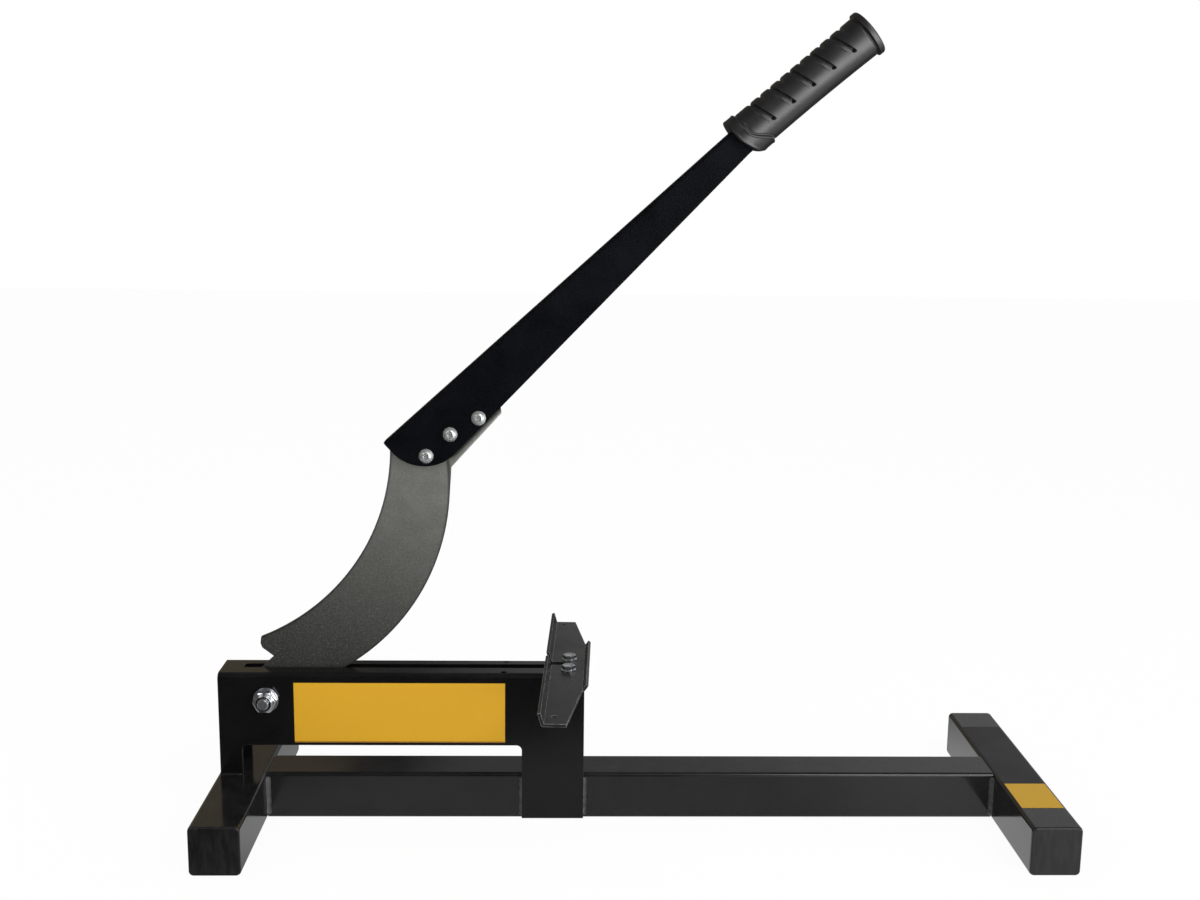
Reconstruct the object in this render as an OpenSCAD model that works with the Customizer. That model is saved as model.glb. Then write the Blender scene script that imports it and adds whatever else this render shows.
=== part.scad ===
// Bench cutter for laminate flooring: a curved guillotine blade on a long lever,
// pivoted in a folded steel frame that is welded to an H-shaped base of square tube.
// The drawing origin is the middle of the beam's underside, with X along the beam,
// Y to the rear and Z up. Places called "from the left" start at the left foot's outer face.

/* [Base] */
// Length over both feet
overall_l = 695; // [640:5:760]
// Length of each foot, front to back
foot_l = 250; // [210:5:300]
// Side of the square tube
tube_w = 40; // [36:1:44]
// Wall of the square tube
tube_t = 2; // [1.5:0.1:2.8]
// Outer corner radius of the square tube
tube_r = 3; // [3:0.5:5]
// Thickness of an end cap's flange
cap_t = 3; // [2:0.5:5]
// Depth of an end cap's plug inside the tube
cap_plug_l = 14; // [8:1:22]
// Wall of an end cap's plug
cap_wall = 2; // [1.5:0.5:3]
// Clearance around an end cap's plug
cap_gap = 0.15; // [0.05:0.05:0.4]
// Leg of a weld bead
weld_leg = 3.5; // [2.5:0.5:4]

/* [Cutter frame] */
// Thickness of the frame's folded sheet
sheet_t = 3; // [2.5:0.5:4]
// Width of the folded channel, front to back
frame_w = 40; // [37:1:44]
// Height of the channel's top above the floor
frame_h = 128; // [122:1:134]
// Length of the channel
frame_l = 303.5; // [296:0.5:312]
// Inset of the channel's left end from the foot's outer face
frame_inset = 2.5; // [1:0.5:5]
// Outer bend radius of the channel
bend_r = 5; // [4.5:0.5:7]
// Height of the channel's walls above the window
wall_h = 62; // [56:1:66]
// Width of the left leg
left_leg_w = 18.5; // [15:0.5:22]
// Width of the right leg, which also laps over the front of the beam
right_leg_w = 52; // [44:1:56]
// Corner radius of the window
window_r = 4.5; // [3:0.5:7]
// Height of the lapped leg's lower edge above the floor
lap_clear = 1; // [0.5:0.5:3]
// Clearance on each side of the blade in the slot
slot_gap = 3; // [2:0.5:4]
// Distance of the slot's left end from the left
slot_x = 20.5; // [18:0.5:22]
// Distance of the slot's right end from the left
slot_end_x = 285; // [281:1:287]
// Corner radius of the slot
slot_r = 2; // [1:0.5:3]
// Offset of the slot behind the channel's middle
slot_shift = 2; // [0:0.5:2.5]
// Distance of the spare pair of rail holes from the left
spare_hole_x = 239; // [200:1:262]
// Diameter of the spare rail holes
spare_hole_d = 5; // [3:0.5:5]

/* [Pivot] */
// Distance of the pivot from the left
pivot_x = 42; // [41:0.5:46]
// Depth of the pivot below the channel's top
pivot_drop = 22; // [21:0.5:25]
// Diameter of the pivot bolt
pivot_d = 10; // [8:1:12]
// Radial running clearance of the blade on the bolt
run_gap = 0.05; // [0.02:0.01:0.08]
// Radial clearance of the fixed pieces on a bolt
bolt_gap = 0.2; // [0.1:0.05:0.5]
// Gap between the blade and each pivot spacer
side_gap = 0.3; // [0.3:0.05:0.6]
// Wall of a pivot spacer tube
spacer_wall = 3; // [2:0.5:4]
// Outer diameter of the pivot washers
pivot_washer_d = 21; // [18:0.5:24]
// Thickness of the pivot washers
pivot_washer_t = 2; // [1.5:0.5:3]
// Width across the flats of the pivot nut and bolt head
pivot_af = 17; // [15:0.5:19]
// Height of the pivot bolt's head
pivot_head_h = 6.4; // [5:0.2:8]
// Height of the self-locking nut's hexagon
pivot_nut_h = 7; // [6:0.5:9]
// Height of the self-locking nut's round collar
pivot_collar_h = 3; // [2:0.5:4]
// Bolt end standing out of the nut
pivot_stub = 1.5; // [1:0.5:4]

/* [Blade] */
// Thickness of the blade
blade_t = 4; // [3:0.5:5]
// Radius of the cutting edge
edge_r = 181.5; // [179:0.5:184]
// Centre of the cutting edge, left of the pivot
edge_cx = -30; // [-32:0.5:-28]
// Centre of the cutting edge, above the pivot
edge_cz = 177.3; // [176:0.1:179]
// Height of the blade's root above that centre
root_rise = 16.3; // [15:0.1:18]
// Radius of the blade's hollow back
back_r = 175.6; // [174:0.2:178]
// Centre of the hollow back, left of the pivot
back_cx = -72.4; // [-74:0.2:-71]
// Centre of the hollow back, above the pivot
back_cz = 210.3; // [209:0.1:212]
// Radius of the eye around the pivot
eye_r = 20; // [18:0.5:20.5]

/* [Lever] */
// Start of the lever's spine, right of the pivot
arm_dx = 102; // [101:0.5:104]
// Start of the lever's spine, above the pivot
arm_dz = 217.5; // [216:0.5:219]
// Angle of the lever's spine above level
arm_angle = 42.2; // [41:0.2:43]
// Width of the folded lever, front to back
arm_w = 20; // [18:0.5:24]
// Sheet thickness of the lever
arm_t = 2.5; // [2:0.25:3]
// Outer bend radius of the lever
arm_bend_r = 3; // [2.5:0.5:4]
// Depth of the lever at its wide end
arm_root_w = 45.5; // [44:0.5:48]
// Depth of the lever at the grip
arm_end_w = 22.2; // [20:0.1:23]
// Length of the tapered stretch
arm_taper_l = 368; // [340:1:400]
// Radius of the lever's rounded wide end
arm_end_r = 35.5; // [34:0.5:38]
// Length of the lever's straight tail inside the grip
arm_tail_l = 104; // [70:1:110]
// Diameter of the lever screws
screw_d = 6; // [5:0.5:6]
// Diameter of a lever screw's head
screw_head_d = 12; // [11:0.5:13]
// Height of a lever screw's head
screw_head_h = 3.6; // [3:0.2:5]
// Width across the flats of the lever nuts
screw_nut_af = 10; // [9:0.5:11]
// Height of the lever nuts
screw_nut_h = 5; // [4:0.5:6]
// Outer diameter of the spacers beside the tang
tang_spacer_d = 14; // [12:0.5:15]

/* [Grip] */
// Length of the grip
grip_l = 133.5; // [120:0.5:140]
// Diameter of the grip's body
grip_d = 34.2; // [33:0.2:38]
// Diameter of the grip's collar
grip_collar_d = 37.5; // [36:0.5:40]
// Length of the grip's collar
grip_collar_l = 10; // [8:0.5:14]
// Slant of the grip's collar, from its spine side to its belly
grip_slant = 13; // [8:0.5:15]
// Diameter of the grip's end flange
grip_flange_d = 38; // [36:0.5:42]
// Length of the grip's end flange
grip_flange_l = 5.5; // [4.5:0.5:8]
// Height of the grip's axis above the middle of the lever's tail, at the collar
grip_rise = 1.5; // [1:0.1:1.8]
// Angle of the grip below the line of the lever's spine
grip_tilt = 1.8; // [0:0.1:2]
// Clearance between the grip and the lever's tail
grip_gap = 0.15; // [0.05:0.05:0.3]
// Number of finger notches along the grip
notch_n = 10; // [6:1:10]
// Radius of a finger notch
notch_r = 2.4; // [1.5:0.1:3]
// Depth of a finger notch
notch_depth = 1.4; // [0.6:0.1:2]

/* [Fence] */
// Distance of the fence's folded face from the channel's right end
fence_back = 30; // [28:0.5:31]
// Thickness of the fence's sheet
fence_t = 2.5; // [2:0.5:3]
// Angle of the fence and its hole pairs, out of square with the slot
fence_angle = 2; // [0:0.5:3]
// Width of the fence's flat between its flanges
fence_w = 30; // [28:0.5:32]
// Width of the fence's flat at its ends
fence_end_w = 19.5; // [17:0.5:21]
// Reach of the fence in front of its bolts
fence_front = 137; // [115:1:145]
// Reach of the fence behind its bolts
fence_rear = 119; // [105:1:125]
// Length of the chamfer at the fence's front end
chamfer_front_l = 77.5; // [60:0.5:85]
// Length of the chamfer at the fence's rear end
chamfer_rear_l = 65; // [50:0.5:75]
// Height of the board-side flange above the flat
face_h = 9; // [7:0.5:11]
// Outward lean of the board-side flange
face_lean = 16; // [0:1:20]
// Height of the stiffening flange along its slope
stiff_h = 4.5; // [3:0.5:6]
// Outward lean of the stiffening flange
stiff_lean = 35; // [20:1:40]
// Clearance on each side of the blade in the fence's slit
slit_gap = 2.25; // [1.5:0.25:3]
// Distance of the slit's end from the folded face
slit_l = 15; // [14:0.5:16]
// Distance of the fence bolts from the folded face
fence_bolt_x = 17; // [16.5:0.5:18]
// Gap between a fence bolt's end and the channel's wall beside it
fence_wall_gap = 0.5; // [0.3:0.1:1]
// Diameter of the fence bolts
fence_bolt_d = 6; // [5:0.5:6]
// Width across the flats of a fence bolt's head
fence_bolt_af = 10; // [8:0.5:11]
// Height of a fence bolt's head
fence_head_h = 4; // [3:0.5:5]
// Length of a fence bolt's end below the rail
fence_bolt_stub = 0.8; // [0:0.2:3]
// Diameter of the small hole near each end of the fence
end_hole_d = 4.2; // [3:0.2:6]
// Distance of the small holes from the folded face
end_hole_x = 9.5; // [8:0.5:12]
// Distance of the front small hole from the fence's front end
front_hole_inset = 15.5; // [8:0.5:24]
// Distance of the rear small hole from the fence's rear end
rear_hole_inset = 8.5; // [6:0.5:24]

/* [Labels] */
// Thickness of the label film
label_t = 0.25; // [0.2:0.05:0.4]
// Distance of the front label from the left
label_x = 65; // [62:1:80]
// Length of the front label
label_l = 175; // [120:1:180]
// Height of the front label
label_h = 52; // [40:1:53]
// Gap between the front label and the window's edge
label_rise = 2.5; // [1:0.5:4]
// Distance of the foot label's ends from the foot's ends
foot_label_inset = 37.5; // [20:0.5:70]

/* [Hidden] */
// Round shapes are drawn with this many facets
$fn = 96;
// Cuts run past the faces they open by this much
over = 1;
// Beam and right foot
beam_l = overall_l - 2 * tube_w;
right_foot_x = overall_l - tube_w;
// Channel faces, front to back: its front wall laps over the front of the beam
frame_front_y = -tube_w / 2 - sheet_t;
frame_rear_y = frame_front_y + frame_w;
channel_y = frame_front_y + frame_w / 2;
slot_y = channel_y + slot_shift;
slot_w = blade_t + 2 * slot_gap;
window_x = frame_inset + left_leg_w;
window_h = frame_h - wall_h;
pivot_z = frame_h - pivot_drop;
frame_end_x = frame_inset + frame_l;
right_leg_x = frame_end_x - right_leg_w;
fence_x = frame_end_x - fence_back;
inner_w = frame_w - 2 * sheet_t;
// Fence bolts and spare rail holes, out from the middle of the channel
fence_bolt_y = inner_w / 2 - fence_wall_gap - fence_bolt_d / 2;
// Pivot pieces
front_spacer_l = inner_w / 2 + slot_shift - blade_t / 2 - side_gap;
rear_spacer_l = inner_w / 2 - slot_shift - blade_t / 2 - side_gap;
spacer_d = pivot_d + 2 * bolt_gap + 2 * spacer_wall;
hex_ratio = 1 / cos(30);
// Blade corners, seen from the pivot: hook at the heel, notch, and the root of the tang
hook_pts = [[-6.6, 48.2], [-7.4, 42.2], [-6, 38.3], [3.7, 30.8]];
neck_angle = 42.4;
neck_foot = eye_r * [-sin(neck_angle), cos(neck_angle)];
root_pt = [edge_cx + sqrt(pow(edge_r, 2) - pow(root_rise, 2)), edge_cz + root_rise];
edge_end_rise = -12;
edge_end_pt = [edge_cx + sqrt(pow(edge_r, 2) - pow(edge_end_rise, 2)), edge_cz + edge_end_rise];
root_corner_pt = [root_pt[0] + 2.2, root_pt[1] - 0.3];
back_end_pt = [back_cx + back_r, back_cz];
// Tang inside the lever, as distances along the spine and down from it
tang_tip_s = 82.3;
tang_tip_n = arm_root_w + 0.9;
tang_top_s = 88;
tang_heel_n = 38;
tang_spine_n = 5.3;
// Lever screws: distances along the spine and down from it
screw_places = [[14.2, 31], [40.8, 30.8], [67.1, 36.3]];
tang_spacer_l = (arm_w - 2 * arm_t - blade_t) / 2;
arm_start_s = -4.5;
arm_round_n = arm_root_w - arm_end_r;
arm_total_l = arm_taper_l + arm_tail_l;
// Grip axis, down from the spine
grip_n = arm_end_w / 2 - grip_rise;
notch_pitch = (grip_l - grip_slant - grip_collar_l - grip_flange_l) / (notch_n + 0.5);
// Fence
slit_w = blade_t + 2 * slit_gap;

// Moves a drawing made "from the left" to the drawing origin
module from_left() translate([-overall_l / 2, 0, 0]) children();

// Extrudes a side view (x, z) from y0 to y1
module across(y0, y1)
    translate([0, y1, 0]) rotate([90, 0, 0]) linear_extrude(y1 - y0) children();

// Extrudes an end view (y, z) from x0 to x1
module along(x0, x1)
    translate([x0, 0, 0]) rotate([90, 0, 90]) linear_extrude(x1 - x0) children();

// Square with round corners, centred
module round_square(w, r) {
    square([w - 2 * r, w], center = true);
    square([w, w - 2 * r], center = true);
    for (i = [-1, 1], j = [-1, 1]) translate([i, j] * (w / 2 - r)) circle(r);
}

// End view of the square tube, standing on the floor
module tube_section()
    translate([0, tube_w / 2]) difference() {
        round_square(tube_w, tube_r);
        round_square(tube_w - 2 * tube_t, tube_r - tube_t);
    }

// Round bar along Y between two faces
module pin_y(d, y0, y1)
    across(y0, y1) circle(d = d);

// Washer or tube along Y
module ring_y(d, bore, y0, y1)
    across(y0, y1) difference() {
        circle(d = d);
        circle(d = bore);
    }

// Hexagon along Y with two flats facing up and down
module hex_y(af, y0, y1)
    across(y0, y1) circle(d = af * hex_ratio, $fn = 6);

// Quarter-round bead filling the corner at the origin, towards +x and +y of its drawing
module bead_section()
    intersection() {
        circle(weld_leg);
        square(weld_leg + over);
    }

// Foot: a square tube across the base, between its two caps
module foot_tube()
    across(-foot_l / 2 + cap_t, foot_l / 2 - cap_t) translate([tube_w / 2, 0]) tube_section();

module left_foot()
    color("#18181a") from_left() foot_tube();

module right_foot()
    color("#18181a") from_left() translate([right_foot_x, 0, 0]) foot_tube();

// Beam: the long tube, butted between the feet
module base_beam()
    color("#1b1b1d") from_left() along(tube_w, right_foot_x) tube_section();

// End cap: a flange flush with the tube and a hollow plug inside it, facing the front
module end_cap() {
    plug_w = tube_w - 2 * tube_t - 2 * cap_gap;
    plug_r = tube_r - tube_t;
    translate([tube_w / 2, -foot_l / 2, tube_w / 2]) {
        across(0, cap_t) round_square(tube_w, tube_r);
        across(cap_t, cap_t + cap_plug_l) difference() {
            round_square(plug_w, plug_r);
            round_square(plug_w - 2 * cap_wall, plug_r);
        }
    }
}

module left_front_cap()
    color("#222224") from_left() end_cap();

module left_rear_cap()
    color("#222224") from_left() mirror([0, 1, 0]) end_cap();

module right_front_cap()
    color("#222224") from_left() translate([right_foot_x, 0, 0]) end_cap();

module right_rear_cap()
    color("#222224") from_left() translate([right_foot_x, 0, 0]) mirror([0, 1, 0]) end_cap();

// Upright beads where the beam's sides meet the feet
module base_welds()
    color("#2a2a2c") from_left()
        for (side = [0, 1], rear = [0, 1])
            translate([side == 0 ? tube_w : right_foot_x, 0, tube_r])
                mirror([side, 0, 0]) mirror([0, 1 - rear, 0]) translate([0, tube_w / 2, 0])
                    linear_extrude(tube_w - 2 * tube_r) bead_section();

// End view of the folded channel, open at the bottom
module channel_section()
    translate([frame_front_y, 0]) difference() {
        union() {
            square([frame_w, frame_h - bend_r]);
            translate([bend_r, 0]) square([frame_w - 2 * bend_r, frame_h]);
            for (y = [bend_r, frame_w - bend_r]) translate([y, frame_h - bend_r]) circle(bend_r);
        }
        translate([sheet_t, -over]) square([inner_w, frame_h - bend_r + over]);
        translate([bend_r, -over]) square([frame_w - 2 * bend_r, frame_h - sheet_t + over]);
        for (y = [bend_r, frame_w - bend_r])
            translate([y, frame_h - bend_r]) circle(bend_r - sheet_t);
    }

// Side view of the window under the channel, with round top corners
module window_view() {
    w = right_leg_x - window_x;
    translate([window_x, -over]) {
        square([w, window_h - window_r + over]);
        translate([window_r, 0]) square([w - 2 * window_r, window_h + over]);
        for (x = [window_r, w - window_r])
            translate([x, window_h - window_r + over]) circle(window_r);
    }
}

// Plan view of the slot in the channel's top
module slot_view() {
    l = slot_end_x - slot_x;
    translate([slot_x, slot_y - slot_w / 2]) {
        translate([slot_r, 0]) square([l - 2 * slot_r, slot_w]);
        translate([0, slot_r]) square([l, slot_w - 2 * slot_r]);
        for (x = [slot_r, l - slot_r], y = [slot_r, slot_w - slot_r])
            translate([x, y]) circle(slot_r);
    }
}

// Places of a pair of holes, one in each rail, x from the left and at the rails' top
module at_rail_pair(x)
    translate([x, channel_y, frame_h]) rotate(-fence_angle)
        for (side = [-1, 1]) translate([0, side * fence_bolt_y, 0]) children();

module cutter_frame()
    color("#141416") from_left() difference() {
        along(frame_inset, frame_end_x) channel_section();
        // Window through both walls
        across(frame_front_y - over, frame_rear_y + over) window_view();
        // Left legs stop on the foot, and the rear right leg on the beam
        translate([frame_inset - over, frame_front_y - over, -over])
            cube([right_leg_x - frame_inset, frame_w + 2 * over, tube_w + over]);
        translate([frame_inset - over, frame_front_y + sheet_t + over, -over])
            cube([frame_l + 2 * over, frame_w, tube_w + over]);
        // The front right leg laps over the beam and stops above the floor
        translate([right_leg_x - over, frame_front_y - over, -over])
            cube([right_leg_w + 2 * over, sheet_t + 2 * over, lap_clear + over]);
        // Blade slot
        translate([0, 0, frame_h - sheet_t - over]) linear_extrude(sheet_t + 2 * over) slot_view();
        // Pivot holes in both walls
        translate([pivot_x, 0, pivot_z])
            pin_y(pivot_d + 2 * bolt_gap, frame_front_y - over, frame_rear_y + over);
        // Fence bolt holes and the spare pair in the rails
        at_rail_pair(fence_x + fence_bolt_x)
            translate([0, 0, -sheet_t - over]) cylinder(d = fence_bolt_d + 2 * run_gap, h = sheet_t + 2 * over);
        at_rail_pair(spare_hole_x)
            translate([0, 0, -sheet_t - over]) cylinder(d = spare_hole_d, h = sheet_t + 2 * over);
    }

// Beads that hold the channel: beside the lapped leg, at the left legs and inside the rear leg
module frame_welds()
    color("#2a2a2c") from_left() {
        for (side = [0, 1])
            translate([side == 0 ? right_leg_x : frame_end_x, -tube_w / 2, tube_r])
                mirror([1 - side, 0, 0]) mirror([0, 1, 0])
                    linear_extrude(tube_w - 2 * tube_r) intersection() {
                        circle(sheet_t);
                        square(sheet_t + over);
                    }
        along(frame_inset + over, window_x - over) {
            translate([frame_front_y, tube_w]) mirror([1, 0]) bead_section();
            translate([frame_rear_y, tube_w]) bead_section();
        }
        along(right_leg_x + over, frame_end_x - over)
            translate([frame_rear_y - sheet_t, tube_w]) mirror([1, 0]) bead_section();
    }

// Plain film on the front wall, above the window
module front_label()
    color("#d09a22") from_left()
        translate([label_x, frame_front_y - label_t, window_h + label_rise])
            cube([label_l, label_t, label_h]);

// Plain film along the top of the right foot
module foot_label()
    color("#202022") from_left()
        translate([right_foot_x + tube_r, -foot_l / 2 + foot_label_inset, tube_w])
            cube([tube_w - 2 * tube_r, foot_l - 2 * foot_label_inset, label_t]);

// Moves a drawing made around the pivot to its place
module at_pivot() from_left() translate([pivot_x, 0, pivot_z]) children();

// Pivot bolt: hexagon head at the rear, shank through both walls and out of the nut
module pivot_bolt() {
    head_y = frame_rear_y + pivot_washer_t;
    tip_y = frame_front_y - pivot_washer_t - pivot_nut_h - pivot_collar_h - pivot_stub;
    color("#b9bcc0") at_pivot() {
        pin_y(pivot_d, tip_y, head_y + over);
        hex_y(pivot_af, head_y, head_y + pivot_head_h);
    }
}

// Self-locking nut at the front, with its round collar outwards
module pivot_nut() {
    seat_y = frame_front_y - pivot_washer_t;
    bore = pivot_d + 2 * run_gap;
    color("#b9bcc0") at_pivot() difference() {
        union() {
            hex_y(pivot_af, seat_y - pivot_nut_h, seat_y);
            pin_y(pivot_af - 2.5, seat_y - pivot_nut_h - pivot_collar_h, seat_y - pivot_nut_h);
        }
        pin_y(bore, seat_y - pivot_nut_h - pivot_collar_h - over, seat_y + over);
    }
}

module pivot_front_washer()
    color("#c4c7ca") at_pivot()
        ring_y(pivot_washer_d, pivot_d + 2 * bolt_gap, frame_front_y - pivot_washer_t, frame_front_y);

module pivot_rear_washer()
    color("#c4c7ca") at_pivot()
        ring_y(pivot_washer_d, pivot_d + 2 * bolt_gap, frame_rear_y, frame_rear_y + pivot_washer_t);

// Spacer tubes that keep the blade in the middle of the channel
module pivot_front_spacer()
    color("#8f9296") at_pivot()
        ring_y(spacer_d, pivot_d + 2 * bolt_gap, frame_front_y + sheet_t,
               frame_front_y + sheet_t + front_spacer_l);

module pivot_rear_spacer()
    color("#8f9296") at_pivot()
        ring_y(spacer_d, pivot_d + 2 * bolt_gap, frame_rear_y - sheet_t - rear_spacer_l,
               frame_rear_y - sheet_t);

// Point on the lever, s along its spine and n down from it, seen from the pivot
function on_lever(s, n) =
    [arm_dx, arm_dz] + s * [cos(arm_angle), sin(arm_angle)] + n * [sin(arm_angle), -cos(arm_angle)];

// Blade outline: a crescent between two arcs, an eye at its heel and a tang at its root
module blade_view() {
    far = 2 * edge_r;
    intersection() {
        difference() {
            translate([edge_cx, edge_cz]) circle(edge_r);
            translate([back_cx, back_cz]) circle(back_r);
        }
        polygon(concat(hook_pts, [neck_foot, [0, 0], [0, -far], [far, -far], [far, root_pt[1]],
                                  root_pt, back_end_pt]));
    }
    circle(eye_r);
    polygon([edge_end_pt, root_corner_pt, on_lever(tang_tip_s, tang_tip_n),
             on_lever(tang_top_s, tang_heel_n), on_lever(tang_top_s, tang_spine_n), back_end_pt]);
}

module blade()
    color("#4a4b45") at_pivot() across(slot_y - blade_t / 2, slot_y + blade_t / 2) difference() {
        blade_view();
        circle(d = pivot_d + 2 * run_gap);
        for (p = screw_places) translate(on_lever(p[0], p[1])) circle(d = screw_d + 2 * bolt_gap);
    }

// Moves a drawing made along the spine (x along it, z away from the lever) to its place
module at_lever()
    at_pivot() translate([arm_dx, slot_y, arm_dz]) rotate([0, -arm_angle, 0]) children();

// Side view of the lever along its spine, depth downwards
module lever_view() {
    round_s = arm_start_s + arm_end_r;
    polygon([[arm_start_s, 0], [arm_start_s, -arm_round_n], [round_s, -arm_round_n],
             [round_s, -arm_root_w], [arm_taper_l, -arm_end_w], [arm_total_l, -arm_end_w],
             [arm_total_l, 0]]);
    intersection() {
        translate([round_s, -arm_round_n]) circle(arm_end_r);
        translate([arm_start_s, -arm_root_w]) square([arm_end_r, arm_end_r]);
    }
}

// End view of the folded lever, web at the top and open below
module lever_section() {
    depth = arm_root_w + over;
    difference() {
        union() {
            translate([-arm_w / 2, -depth]) square([arm_w, depth - arm_bend_r]);
            translate([-arm_w / 2 + arm_bend_r, -depth]) square([arm_w - 2 * arm_bend_r, depth]);
            for (y = [-1, 1]) translate([y * (arm_w / 2 - arm_bend_r), -arm_bend_r]) circle(arm_bend_r);
        }
        translate([-arm_w / 2 + arm_t, -depth - over]) square([arm_w - 2 * arm_t, depth + over - arm_t]);
    }
}

module lever_arm()
    color("#101012") at_lever() difference() {
        intersection() {
            across(-arm_w / 2, arm_w / 2) lever_view();
            along(arm_start_s, arm_total_l) lever_section();
        }
        for (p = screw_places) translate([p[0], 0, -p[1]])
            pin_y(screw_d + 2 * bolt_gap, -arm_w / 2 - over, arm_w / 2 + over);
    }

// Three screws, heads at the front
module lever_screws()
    color("#c4c7ca") at_lever()
        for (p = screw_places) translate([p[0], 0, -p[1]]) {
            pin_y(screw_d, -arm_w / 2 - over, arm_w / 2 + screw_nut_h + over);
            pin_y(screw_head_d, -arm_w / 2 - screw_head_h, -arm_w / 2);
        }

module lever_nuts()
    color("#c4c7ca") at_lever()
        for (p = screw_places) translate([p[0], 0, -p[1]]) difference() {
            hex_y(screw_nut_af, arm_w / 2, arm_w / 2 + screw_nut_h);
            pin_y(screw_d + 2 * run_gap, arm_w / 2 - over, arm_w / 2 + screw_nut_h + over);
        }

// Spacer rings between the tang and one wall of the lever, -1 at the front and 1 at the rear
module tang_spacers(side)
    color("#8f9296") at_lever()
        for (p = screw_places) translate([p[0], side * (blade_t + tang_spacer_l) / 2, -p[1]])
            ring_y(tang_spacer_d, screw_d + 2 * bolt_gap, -tang_spacer_l / 2, tang_spacer_l / 2);

module tang_front_spacers() tang_spacers(-1);
module tang_rear_spacers() tang_spacers(1);

// Moves a drawing made along the grip's axis, spine side up, to its place
module at_grip()
    at_lever() translate([arm_taper_l, 0, -grip_n]) rotate([0, grip_tilt, 0]) children();

// Side view of the grip's reach: its collar end is slanted on the belly side
module grip_view() {
    top = grip_flange_d;
    steep = grip_slant / (grip_collar_d / 2);
    polygon([[0, top], [grip_l + over, top], [grip_l + over, -top], [steep * top, -top], [0, 0]]);
}

// Side view of the collar, a band that follows the slanted end
module collar_view() {
    top = grip_flange_d;
    steep = grip_slant / (grip_collar_d / 2);
    polygon([[0, top], [grip_collar_l, top], [grip_collar_l, 0], [grip_collar_l + steep * top, -top],
             [steep * top, -top], [0, 0]]);
}

// Half outline of the end flange, with round edges
module flange_half() {
    edge = 2;
    square([grip_flange_d / 2 - edge, grip_flange_l]);
    translate([0, edge]) square([grip_flange_d / 2, grip_flange_l - 2 * edge]);
    for (y = [edge, grip_flange_l - edge]) translate([grip_flange_d / 2 - edge, y]) circle(edge);
}

// Moulded grip: round body with a slanted collar, finger notches on the spine side and a
// square socket for the lever's tail
module grip()
    color("#151515") difference() {
        at_grip() difference() {
            union() {
                intersection() {
                    rotate([0, 90, 0]) cylinder(d = grip_d, h = grip_l - grip_flange_l / 2);
                    across(-grip_d, grip_d) grip_view();
                }
                intersection() {
                    rotate([0, 90, 0]) cylinder(d = grip_collar_d, h = grip_slant + 2 * grip_collar_l);
                    across(-grip_d, grip_d) collar_view();
                }
                translate([grip_l - grip_flange_l, 0, 0]) rotate([0, 90, 0]) rotate_extrude() flange_half();
            }
            for (i = [1 : notch_n])
                translate([grip_slant + grip_collar_l + (i - 0.75) * notch_pitch, 0,
                           grip_d / 2 + notch_r - notch_depth])
                    pin_y(2 * notch_r, -grip_d, grip_d);
        }
        at_lever() translate([arm_taper_l - over, -arm_w / 2 - grip_gap, -arm_end_w - grip_gap])
            cube([arm_tail_l + over + grip_gap, arm_w + 2 * grip_gap, arm_end_w + 2 * grip_gap]);
    }

// Moves a drawing of the fence, made from its folded face and its bolts, to its place
module at_fence()
    from_left() translate([fence_x + fence_bolt_x, channel_y, frame_h]) rotate(-fence_angle)
        translate([-fence_bolt_x, 0, 0]) children();

// Plan view of the fence's flat, chamfered on its outer side at both ends
module fence_view()
    polygon([[fence_t, -fence_front], [fence_end_w, -fence_front], [fence_w, chamfer_front_l - fence_front],
             [fence_w, fence_rear - chamfer_rear_l], [fence_end_w, fence_rear], [fence_t, fence_rear]]);

// End view of a folded-up flange, seen along Y: bend centre at the origin, flange to the left
module flange_section(h, lean) {
    intersection() {
        circle(fence_t);
        translate([-fence_t, -fence_t]) square(fence_t);
    }
    rotate(lean) translate([-fence_t, 0]) square([fence_t, h]);
}

// Fence: one folded sheet on the rails, slit for the blade
module fence()
    color("#3a3a3c") at_fence() difference() {
        union() {
            linear_extrude(fence_t) fence_view();
            across(-fence_front, fence_rear) translate([fence_t, fence_t]) flange_section(face_h, face_lean);
            across(chamfer_front_l - fence_front, fence_rear - chamfer_rear_l)
                translate([fence_w, fence_t]) mirror([1, 0]) flange_section(stiff_h, stiff_lean);
        }
        translate([-face_h - fence_t, slot_shift - slit_w / 2, -over])
            cube([face_h + fence_t + slit_l, slit_w, face_h + 2 * fence_t + 2 * over]);
        for (side = [-1, 1])
            translate([fence_bolt_x, side * fence_bolt_y, -over])
                cylinder(d = fence_bolt_d + 2 * bolt_gap, h = fence_t + 2 * over);
        for (y = [front_hole_inset - fence_front, fence_rear - rear_hole_inset])
            translate([end_hole_x, y, -over]) cylinder(d = end_hole_d, h = fence_t + 2 * over);
    }

// Two bolts through the fence, screwed into the rails
module fence_bolts() {
    under = sheet_t + fence_bolt_stub;
    color("#c4c7ca") from_left() at_rail_pair(fence_x + fence_bolt_x) {
        translate([0, 0, -under]) cylinder(d = fence_bolt_d, h = under + fence_t + over);
        translate([0, 0, fence_t]) cylinder(d = fence_bolt_af * hex_ratio, h = fence_head_h, $fn = 6);
    }
}

left_foot();
right_foot();
base_beam();
left_front_cap();
left_rear_cap();
right_front_cap();
right_rear_cap();
base_welds();
cutter_frame();
frame_welds();
front_label();
foot_label();
pivot_bolt();
pivot_nut();
pivot_front_washer();
pivot_rear_washer();
pivot_front_spacer();
pivot_rear_spacer();
blade();
lever_arm();
lever_screws();
lever_nuts();
tang_front_spacers();
tang_rear_spacers();
grip();
fence();
fence_bolts();
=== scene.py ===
"""Dressed model of a bench cutter for laminate flooring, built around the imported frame."""
from math import cos, pi, radians, sin

import bpy
import numpy as np
from mathutils import Matrix, Vector


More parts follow.
